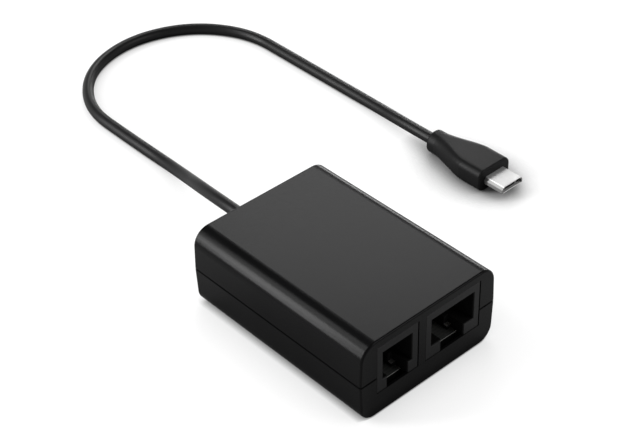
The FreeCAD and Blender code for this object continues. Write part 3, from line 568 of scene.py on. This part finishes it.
def makeContacts(tree, look):
    for jack, lie in look["jacks"].items():
        firstX = lie["x"] - (lie["count"] - 1) / 2 * look["pitch"]
        springs = linePiece(jack + "Springs", [springPath(look, firstX)])
        growPiece(springs, tree, wireRow(look, look["pitch"], lie["count"]), goldWire)
        standFor(springs, jack + "_spring_set", "contact_gold", jack + "_contact_springs")
        pair = [leadPath(look, firstX + i * look["pitch"], drop) for i, drop in enumerate(look["drops"])]
        leads = linePiece(jack + "Leads", pair)
        growPiece(leads, tree, wireRow(look, 2 * look["pitch"], lie["count"] // 2), goldWire)
        standFor(leads, "adapter", "contact_gold", jack + "_contact_leads")
    print("contact wires in", len(look["jacks"]), "jacks")


plugContactLook = {
    "x": 57.35 * mm, "frontY": 5.2 * mm, "backY": 14.6 * mm, "z": 2.855 * mm,
    "width": 0.30 * mm, "thickness": 0.12 * mm, "corner": 0.04 * mm, "pitch": 0.65 * mm, "count": 5,
}


def makePlugContacts(tree, look):
    firstX = look["x"] - (look["count"] - 1) / 2 * look["pitch"]
    path = [(firstX, y, look["z"]) for y in (look["backY"], look["frontY"])]
    strips = linePiece("plugContacts", [path])
    growPiece(strips, tree, wireRow(look, look["pitch"], look["count"]), goldWire)
    standFor(strips, "adapter", "contact_gold", "plug_contacts")
    print("plug contacts", look["count"])
    return strips


wireTree = makeWireTree()
makeContacts(wireTree, contactLook)
plugContacts = makePlugContacts(wireTree, plugContactLook)


# case screws: a turned profile, a cross recess cut into the head, a thread wound on the shank

screwLook = {
    "profile": [(0, 0.8), (1.25, 0.8), (1.5, 0.84), (1.72, 0.98), (1.86, 1.2), (1.9, 1.45), (1.9, 2.1),
                (1.8, 2.2), (0.86, 2.2), (0.86, 9.5), (0.30, 10.2), (0, 10.2)],
    "hub": 0.1 * mm, "spreadX": 2 * 12.719 * mm, "spreadY": 24.6 * mm, "middleY": 6.75 * mm,
    "headZ": 0.8 * mm, "driveReach": 1.7 * mm, "driveWidth": 0.4 * mm, "driveDepth": 0.8 * mm,
    "threadFrom": 2.7 * mm, "threadRadius": 0.86 * mm, "threadRise": 6.6 * mm, "threadTurns": 9.0,
    "threadSize": 0.09 * mm,
}
screwSizes = {
    "Hub": "hub", "Spread X": "spreadX", "Spread Y": "spreadY", "Middle Y": "middleY", "Head Z": "headZ",
    "Drive Reach": "driveReach", "Drive Width": "driveWidth", "Drive Depth": "driveDepth",
    "Thread From": "threadFrom", "Thread Radius": "threadRadius", "Thread Rise": "threadRise",
    "Thread Turns": "threadTurns", "Thread Size": "threadSize",
}


def makeScrewTree():
    tree, given, result = newTree("screwSet", screwSizes)
    outline = addStep(tree, "GeometryNodeMeshToCurve", Mesh=given["Geometry"])
    hub = addStep(tree, "GeometryNodeCurvePrimitiveCircle", {"Resolution": 40}, Radius=given["Hub"])
    level = addStep(tree, "GeometryNodeSetCurveNormal", {"Normal": (0, 0, 1)}, "FREE",
                    Curve=hub.outputs["Curve"])
    turned = addStep(tree, "GeometryNodeCurveToMesh",
                     Curve=level.outputs["Curve"], Profile_Curve=outline.outputs["Curve"])
    blank = addStep(tree, "GeometryNodeMergeByDistance", {"Distance": 1e-6}, Geometry=turned.outputs["Mesh"])
    deep = addStep(tree, "ShaderNodeMath", {1: 2.0})  # the bars are centred on the head's face
    deep.operation = "MULTIPLY"
    tree.links.new(given["Drive Depth"], deep.inputs[0])
    head = addStep(tree, "ShaderNodeCombineXYZ", Z=given["Head Z"])
    bars = []
    for wide, long in (("Drive Reach", "Drive Width"), ("Drive Width", "Drive Reach")):
        size = addStep(tree, "ShaderNodeCombineXYZ", X=given[wide], Y=given[long], Z=deep.outputs["Value"])
        bar = addStep(tree, "GeometryNodeMeshCube", Size=size.outputs["Vector"])
        bars.append(addStep(tree, "GeometryNodeTransform",
                            Geometry=bar.outputs["Mesh"], Translation=head.outputs["Vector"]))
    driven = addStep(tree, "GeometryNodeMeshBoolean", Mesh_1=blank.outputs["Geometry"])
    driven.operation = "DIFFERENCE"
    for bar in bars:
        tree.links.new(bar.outputs["Geometry"], driven.inputs["Mesh 2"])
    helix = addStep(tree, "GeometryNodeCurveSpiral", {"Resolution": 24},
                    Rotations=given["Thread Turns"], Height=given["Thread Rise"],
                    Start_Radius=given["Thread Radius"], End_Radius=given["Thread Radius"])
    ridge = addStep(tree, "GeometryNodeCurvePrimitiveCircle", {"Resolution": 4}, Radius=given["Thread Size"])
    wound = addStep(tree, "GeometryNodeCurveToMesh", {"Fill Caps": True},
                    Curve=helix.outputs["Curve"], Profile_Curve=ridge.outputs["Curve"])
    lift = addStep(tree, "ShaderNodeCombineXYZ", Z=given["Thread From"])
    thread = addStep(tree, "GeometryNodeTransform",
                     Geometry=wound.outputs["Mesh"], Translation=lift.outputs["Vector"])
    screw = addStep(tree, "GeometryNodeJoinGeometry")
    tree.links.new(driven.outputs["Mesh"], screw.inputs["Geometry"])
    tree.links.new(thread.outputs["Geometry"], screw.inputs["Geometry"])
    grid = addStep(tree, "GeometryNodeMeshGrid", {"Vertices X": 2, "Vertices Y": 2},
                   Size_X=given["Spread X"], Size_Y=given["Spread Y"])
    middle = addStep(tree, "ShaderNodeCombineXYZ", Y=given["Middle Y"])
    places = addStep(tree, "GeometryNodeTransform",
                     Geometry=grid.outputs["Mesh"], Translation=middle.outputs["Vector"])
    placeCopies(tree, places.outputs["Geometry"], screw.outputs["Geometry"], given, result)
    return tree


def makeScrews(look):
    outline = [(z * mm, r * mm - look["hub"], 0) for r, z in look["profile"]]
    screws = linePiece("caseScrews", [outline])
    sizes = {socket: look[size] for socket, size in screwSizes.items()}
    growPiece(screws, makeScrewTree(), sizes, blackOxide)
    standFor(screws, "adapter", "screw_steel", "case_screws")
    print("case screws", len(screws.data.polygons), "faces")


makeScrews(screwLook)


# turned rubber pieces at the cord's exit: the ringed bushing and the jacket's cut end inside it

def turnedPiece(name, profile, axisZ, finish, closed, segments=64):
    form = bmesh.new()
    rings = []
    for r, y in profile:
        if r == 0:
            rings.append([form.verts.new((0, y * mm, axisZ))])
            continue
        turns = [2 * math.pi * i / segments for i in range(segments)]
        places = [(r * mm * math.cos(a), y * mm, axisZ + r * mm * math.sin(a)) for a in turns]
        rings.append([form.verts.new(place) for place in places])
    pairs = list(zip(rings, rings[1:]))
    if closed:
        pairs.append((rings[-1], rings[0]))
    for one, two in pairs:
        for i in range(segments):
            j = (i + 1) % segments
            corners = [one[i % len(one)], one[j % len(one)], two[j % len(two)], two[i % len(two)]]
            form.faces.new(list(dict.fromkeys(corners)))
    bmesh.ops.recalc_face_normals(form, faces=form.faces)
    mesh = bpy.data.meshes.new(name)
    form.to_mesh(mesh)
    form.free()
    mesh.materials.append(finish)
    smoothByAngle(mesh, smoothAngles["turned"])
    return linkIn(name, mesh)


def softenEdges(piece, edge):
    bevel = piece.modifiers.new("soften", "BEVEL")
    bevel.width = edge["width"]
    bevel.segments = edge["steps"]
    bevel.limit_method = "ANGLE"
    bevel.angle_limit = math.radians(edge["angle"])
    softened = bpy.data.meshes.new_from_object(piece.evaluated_get(bpy.context.evaluated_depsgraph_get()))
    piece.modifiers.remove(bevel)
    piece.data = softened
    smoothByAngle(softened, smoothAngles["softened"])


bushingLook = {
    "axisZ": 9.65 * mm, "bore": 1.5, "flange": 3.8, "neck": 2.5, "collar": 3.2, "nose": 2.1,
    "flangeY": (21.65, 23.15), "collarY": (25.15, 26.15), "endY": 31.05,
    "rings": 3, "ringFrom": 0.6, "ringSpare": 0.5, "grooveWidth": 0.5, "grooveDepth": 0.45,
    "edge": {"width": 0.1 * mm, "steps": 3, "angle": 28},
    "jacketRadius": 1.45, "jacketY": (20.45, 31.05),
    "cut": {"depth": 0.25, "floor": 0.45, "lip": 0.38, "edge": 0.08},
}


def makeBushing(look):
    (flange0, flange1), (collar0, collar1), end = look["flangeY"], look["collarY"], look["endY"]
    bore, flange, neck, collar = look["bore"], look["flange"], look["neck"], look["collar"]
    profile = [(bore, flange0), (flange, flange0), (flange, flange1), (neck, flange1),
               (neck, collar0), (collar, collar0), (collar, collar1)]
    step = (end - collar1) / (look["rings"] + look["ringSpare"])
    slope = (look["nose"] - collar) / (end - collar1)
    for i in range(look["rings"]):
        y0 = collar1 + (i + look["ringFrom"]) * step
        y1 = y0 + look["grooveWidth"]
        r0, r1 = collar + slope * (y0 - collar1), collar + slope * (y1 - collar1)
        profile += [(r0, y0), (r0 - look["grooveDepth"], y0), (r1 - look["grooveDepth"], y1), (r1, y1)]
    profile += [(look["nose"], end), (bore, end)]
    bushing = turnedPiece("strainRelief", profile, look["axisZ"], cordJacket, True)
    softenEdges(bushing, look["edge"])
    standFor(bushing, "adapter", "cord_jacket", "strain_relief")
    r, (y0, y1), cut = look["jacketRadius"], look["jacketY"], look["cut"]
    sunk = y0 + cut["depth"]
    profile = [(0, sunk), (r - cut["floor"], sunk), (r - cut["lip"], y0), (r - cut["edge"], y0),
               (r, y0 + cut["edge"]), (r, y1), (0, y1)]
    stub = turnedPiece("jacketEnd", profile, look["axisZ"], cordJacket, False)
    standFor(stub, "adapter", "cord_jacket", "cord_inner_end")
    print("bushing and jacket end turned")
    return [bushing, stub]


onCord = makeBushing(bushingLook)


# runs of round cord and wire

def newTube(name, look):
    curve = bpy.data.curves.new(name, "CURVE")
    curve.dimensions = "3D"
    curve.resolution_u = look["steps"]
    curve.bevel_depth = look["diameter"] / 2
    curve.bevel_resolution = look["roundSteps"]
    curve.use_fill_caps = True
    return curve


def addRun(curve, route):
    line = curve.splines.new("NURBS")
    line.points.add(len(route) - 1)
    for point, place in zip(line.points, route):
        point.co = (*place, 1)
    line.order_u = 3
    line.use_endpoint_u = True
    return line


# the cord's five wires inside the case, fanned from the round jacket to the flat crimp plug

leadLook = {
    "diameter": 0.90 * mm, "steps": 12, "roundSteps": 5, "pitch": 1.25 * mm, "bundle": 0.851 * mm,
    "plugY": 15.45 * mm, "plugZ": 7.3 * mm, "jacketY": 20.45 * mm, "jacketZ": 9.65 * mm, "straight": 1.5 * mm,
    "tones": [(0.42, 0.02, 0.02), (0.75, 0.74, 0.70), (0.02, 0.22, 0.05), (0.012, 0.012, 0.012),
              (0.55, 0.42, 0.02)],
    "darkShare": 0.85, "shine": 0.4,
}


def makeLeads(look):
    count = len(look["tones"])
    turns = [math.pi / 2 + i * 2 * math.pi / count for i in range(count)]
    ends = sorted((look["bundle"] * math.cos(a), look["bundle"] * math.sin(a)) for a in turns)
    curve = newTube("cordLeads", look)
    plugY, plugZ, jacketY, straight = look["plugY"], look["plugZ"], look["jacketY"], look["straight"]
    for i, (endX, rise) in enumerate(ends):
        x = (i - (count - 1) / 2) * look["pitch"]
        endZ = look["jacketZ"] + rise
        line = addRun(curve, [(x, plugY, plugZ), (x, plugY + straight, plugZ),
                              (endX, jacketY - straight, endZ), (endX, jacketY, endZ)])
        line.material_index = i
        tone = look["tones"][i]
        dark = [c * look["darkShare"] for c in tone]
        sleeve = {**jacketLook, "dark": dark, "light": tone, "shine": look["shine"]}
        curve.materials.append(mouldedFinish("leadSleeve" + str(i + 1), sleeve))
    drawn = linkIn("leadCurve", curve)
    mesh = bpy.data.meshes.new_from_object(drawn.evaluated_get(bpy.context.evaluated_depsgraph_get()))
    bpy.data.objects.remove(drawn)
    leads = linkIn("cordLeads", mesh)
    smoothByAngle(mesh, smoothAngles["leads"])
    standFor(leads, "adapter", "wire_insulation", "cord_leads")
    print("cord leads", count)


makeLeads(leadLook)


# the captive cord: out of the bushing, down to the table, round its U and back to the plug

cordLook = {
    "diameter": 0.0029, "steps": 24, "roundSteps": 7,
    "route": [
        (0.0, 0.03105, 0.00965), (0.0, 0.0430, 0.00965), (0.0067, 0.0634, 0.0015),
        (0.0066, 0.0832, 0.0015),  # holds the straight stretch before the first shoulder
        (0.0069, 0.1001, 0.0015), (0.0170, 0.1138, 0.0015), (0.0333, 0.1189, 0.0015),
        (0.0495, 0.1134, 0.0015), (0.0592, 0.0996, 0.0015),
        (0.05915, 0.0826, 0.0015),  # and after the second
        (0.0590, 0.0516, 0.0015), (0.05735, 0.0390, 0.002895), (0.05735, 0.0291, 0.002895),
    ],
    "length": 0.2072,
    "plugNodes": ["plug_overmould", "plug_shell", "plug_insulator", "plug_latches"],
}


def makeCord(look):
    curve = newTube("usbCord", look)
    addRun(curve, look["route"])
    curve.materials.append(cordJacket)
    cord = linkIn("usbCord", curve)
    standFor(cord, "adapter", "cord_jacket", "usb_cord")
    print("cord laid over", len(look["route"]), "points")


makeCord(cordLook)


# floor, lamps and sky

floorLook = {
    "size": 6.0, "cells": 8, "color": (0.20, 0.20, 0.20), "rough": 0.9, "glow": 0.865, "fade": (0.30, 1.20),
    "speck": {"scale": 900.0, "detail": 2.0}, "speckTone": 0.995, "samples": 8,
    # contact, shade, plugShade and mirrored paint shade into the floor's glow: a contact shadow, a soft
    # shadow round the part, a deeper shadow at the plug, and darker reflections of the floor beside the box
    "contact": {"front": 0.0003, "beside": 0.0017, "edge": (-0.0250, -0.0240),
                "cord": 0.0004, "from": (0.034, 0.050)},
    "shade": {"reach": 0.013, "depth": 0.40},
    "plugShade": {"at": (0.057, 0.016, 0.0), "depth": 3.4, "from": (0.010, 0.022)},
    "mirrored": {"reach": 0.03, "front": 1.8, "beside": 6.0, "from": (-0.027, -0.023)},
}
lampLook = {
    "backSoftbox": {"toward": (0.54, 0.557, 0.64), "distance": 0.8, "size": (0.295, 0.245), "power": 2.15},
    "leftStrip": {"toward": (-0.785, 0.545, 0.293), "distance": 0.7, "size": (0.135, 0.50), "power": 5.5,
                  "roll": 9},
    "leftHaze": {"toward": (-0.58, 0.562, 0.59), "distance": 0.7, "size": (0.19, 0.60), "power": 4.0,
                 "roll": 12},
    "rightStrip": {"toward": (0.82, 0.55, 0.08), "distance": 0.8, "size": (0.30, 0.08), "power": 0.88},
    "frontPanel": {"toward": (0.40, -0.70, 0.59), "distance": 0.8, "size": (0.40, 0.30), "power": 2.4},
}
lampCentre = Vector((0.01, 0.02, 0))
skyLook = {"horizon": 1.0, "zenith": 0.12, "fade": (0.30, 0.62)}


def addShade(tree, look):
    node = tree.nodes.new("ShaderNodeAmbientOcclusion")
    node.samples = look["samples"]
    return node


def addReach(tree, where, at):
    node = tree.nodes.new("ShaderNodeVectorMath")
    node.operation = "DISTANCE"
    tree.links.new(where, node.inputs[0])
    node.inputs[1].default_value = at
    return node.outputs["Value"]


def makeFloor(look):
    mesh = bpy.data.meshes.new("floor")
    form = bmesh.new()
    bmesh.ops.create_grid(form, x_segments=look["cells"], y_segments=look["cells"], size=look["size"] / 2)
    form.to_mesh(mesh)
    form.free()
    mat, tree, shader, where = newFinish("floorPaper")
    speck = addNoise(tree, where, **look["speck"])
    paper = addTint(tree, speck, [c * look["speckTone"] for c in look["color"]], look["color"])
    tree.links.new(paper, shader.inputs["Base Color"])
    shader.inputs["Roughness"].default_value = look["rough"]
    shader.inputs["Specular IOR Level"].default_value = 0.0
    light = tree.nodes.new("ShaderNodeLightPath").outputs
    mirrored = addMath(tree, "MAXIMUM", light["Is Glossy Ray"], light["Is Transmission Ray"])
    away = addReach(tree, where, (0, 0, 0))
    contact = look["contact"]
    touch = addShade(tree, look)  # painted contact shadow: the floor's glow darkened where the part touches the paper
    along = axisOf(tree, where, "Y")
    atBox = addSpread(tree, along, contact["front"], contact["beside"], *contact["edge"])
    atEdge = addSpread(tree, away, contact["front"], contact["cord"], *contact["from"])
    tree.links.new(atBox, atEdge.node.inputs["To Min"])
    tree.links.new(atEdge, touch.inputs["Distance"])
    shade = look["shade"]
    plug = look["plugShade"]
    around = addShade(tree, look)  # the soft shade round the part, deeper at the plug
    around.inputs["Distance"].default_value = shade["reach"]
    fromPlug = addReach(tree, where, plug["at"])
    depth = addSpread(tree, fromPlug, plug["depth"], shade["depth"], *plug["from"])
    soft = addMath(tree, "POWER", around.outputs["AO"], depth)
    dark = addMath(tree, "MULTIPLY", touch.outputs["AO"], soft)
    direct = addMath(tree, "MULTIPLY", light["Is Camera Ray"], dark)
    mirror = look["mirrored"]
    wide = addShade(tree, look)  # painted shade in reflections: the paper's glow in mirror rays darkened near the part, more beside the box than in front
    wide.inputs["Distance"].default_value = mirror["reach"]
    depth = addSpread(tree, along, mirror["front"], mirror["beside"], *mirror["from"])
    dark = addMath(tree, "POWER", wide.outputs["AO"], depth)
    back = addMath(tree, "MULTIPLY", mirrored, dark)
    spread = addSpread(tree, away, look["glow"], 1.0, *look["fade"])  # more where the lamps fall off
    glow = addMath(tree, "MULTIPLY", addMath(tree, "ADD", direct, back), spread)
    tree.links.new(glow, shader.inputs["Emission Strength"])
    shader.inputs["Emission Color"].default_value = (1, 1, 1, 1)
    mat.cycles.emission_sampling = "NONE"
    mesh.materials.append(mat)
    floor = linkIn("floor", mesh)


def makeLamp(name, look):
    data = bpy.data.lights.new(name, "AREA")
    data.shape = "RECTANGLE"
    data.size, data.size_y = look["size"]
    data.energy = look["power"]
    toward = Vector(look["toward"]).normalized()
    lamp = linkIn(name, data)
    turn = toward.to_track_quat("Z", "Y") @ Quaternion((0, 0, 1), math.radians(look.get("roll", 0)))
    lamp.rotation_euler = turn.to_euler()
    lamp.location = toward * look["distance"] + lampCentre


makeFloor(floorLook)
for lampName, look in lampLook.items():
    makeLamp(lampName, look)


def makeSky(look):
    world = bpy.data.worlds.new("studio")
    world.use_nodes = True
    tree = world.node_tree
    shade = tree.nodes["Background"]
    shade.inputs["Color"].default_value = (1, 1, 1, 1)
    height = axisOf(tree, tree.nodes.new("ShaderNodeTexCoord").outputs["Generated"], "Z")
    fall = addSpread(tree, height, look["horizon"], look["zenith"], *look["fade"])
    tree.links.new(fall, shade.inputs["Strength"])
    scene.world = world


makeSky(skyLook)
scene.view_settings.view_transform = "Standard"
print("studio lit by", len(lampLook), "lamps")
